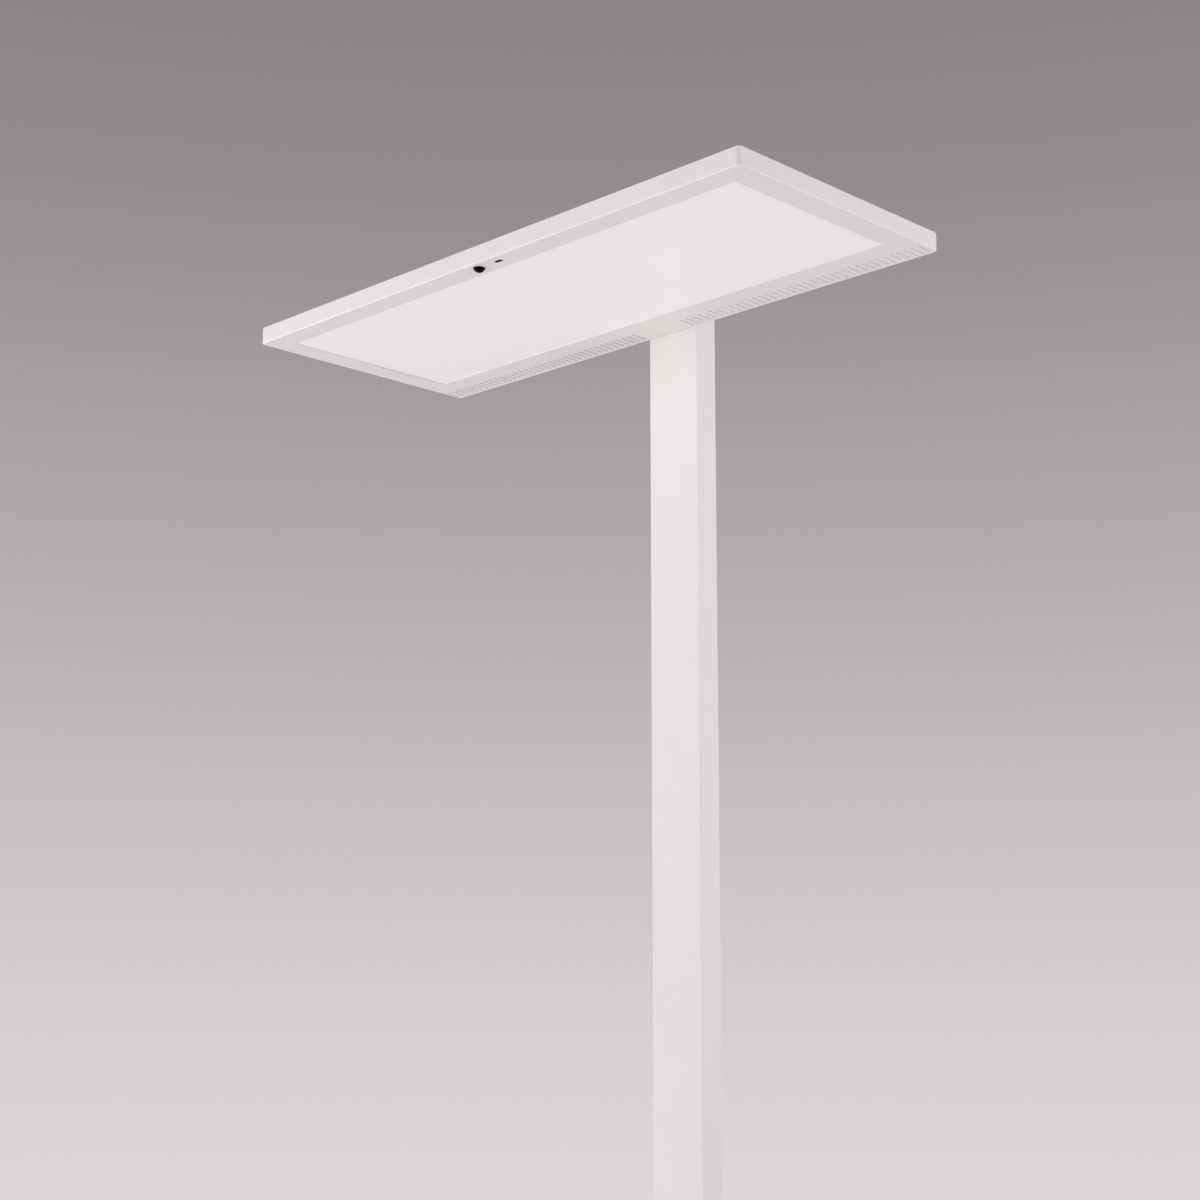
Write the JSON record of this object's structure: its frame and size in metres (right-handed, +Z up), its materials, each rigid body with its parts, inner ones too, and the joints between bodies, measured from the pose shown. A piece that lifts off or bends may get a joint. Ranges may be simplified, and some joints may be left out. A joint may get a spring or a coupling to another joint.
{
  "type": "office floor lamp",
  "caption": "Flat rectangular LED head on a rectangular column with a plate base, with presence sensor, vent slots, push buttons and mains inlet.",
  "frame": {"origin": "on the floor, under the middle of the base plate and of the lamp's bounding box", "axes": "+Z up along the column; +X right along the head's long side; +Y back, to the side where the column stands; the desk side is -Y"},
  "size_m": [0.71, 0.36, 1.95],
  "materials": {
    "powder_coat": "warm white powder coat, satin, fine texture",
    "white_plastic": "moulded, satin white",
    "button_plastic": "moulded, fine grain",
    "black_plastic": "moulded, matt black",
    "black_lens": "polished black",
    "opal_acrylic": "opal, satin",
    "clear_acrylic": "clear, polished edges",
    "white_film": "matt white film",
    "white_fleece": "bonded polyester fleece, matt white",
    "light_pipe": "clear light pipe",
    "led_board": "white solder mask with yellow LEDs",
    "circuit_board": "green solder mask",
    "carrier_aluminium": "mill finish sheet",
    "bracket_metal": "machined",
    "driver_can": "galvanised sheet",
    "zinc_screws": "zinc plated",
    "contact_metal": "nickel plated brass",
    "pad_rubber": "matt black",
    "black_cable": "PVC sheath, satin",
    "grey_cable": "PVC sheath, satin"
  },
  "bodies": {
    "lamp": {"base_plate": "powder_coat", "glide_pads": "pad_rubber", "base_screws": "zinc_screws", "foot_insert": "bracket_metal", "column_tube": "powder_coat", "column_cap": "white_plastic", "column_screws": "zinc_screws", "inlet_housing": "black_plastic", "inlet_pins": "contact_metal", "inlet_screws": "zinc_screws", "control_plate": "white_plastic", "status_light": "light_pipe", "button_board": "circuit_board", "button_board_screws": "zinc_screws", "supply_cable": "black_cable", "signal_cable": "grey_cable", "head_bracket": "bracket_metal", "bracket_nuts": "zinc_screws", "head_tray": "powder_coat", "lower_diffuser": "opal_acrylic", "light_guide": "clear_acrylic", "reflector_sheet": "white_film", "led_strip_front": "led_board", "led_strip_rear": "led_board", "carrier_sheet": "carrier_aluminium", "carrier_screws": "zinc_screws", "upper_led_boards": "led_board", "upper_diffuser": "opal_acrylic", "top_cover": "powder_coat", "cover_screws": "zinc_screws", "led_driver": "driver_can", "control_unit": "black_plastic", "electronics_screws": "zinc_screws", "vent_screens": "white_fleece", "presence_lens": "black_lens", "light_sensor_window": "black_lens", "sensor_holder": "black_plastic", "sensor_board": "circuit_board", "sensor_nuts": "zinc_screws"},
    "up_button": {"button_up": "button_plastic"},
    "down_button": {"button_down": "button_plastic"}
  },
  "joints": [
    {"name": "up_press", "type": "slide", "parent": "lamp", "child": "up_button", "axis": [0, 1, 0], "range_m": [0, 0.0008], "stiffness_N_per_m": 600, "springref_m": -0.001},
    {"name": "down_press", "type": "slide", "parent": "lamp", "child": "down_button", "axis": [0, 1, 0], "range_m": [0, 0.0008], "stiffness_N_per_m": 600, "springref_m": -0.001}
  ]
}
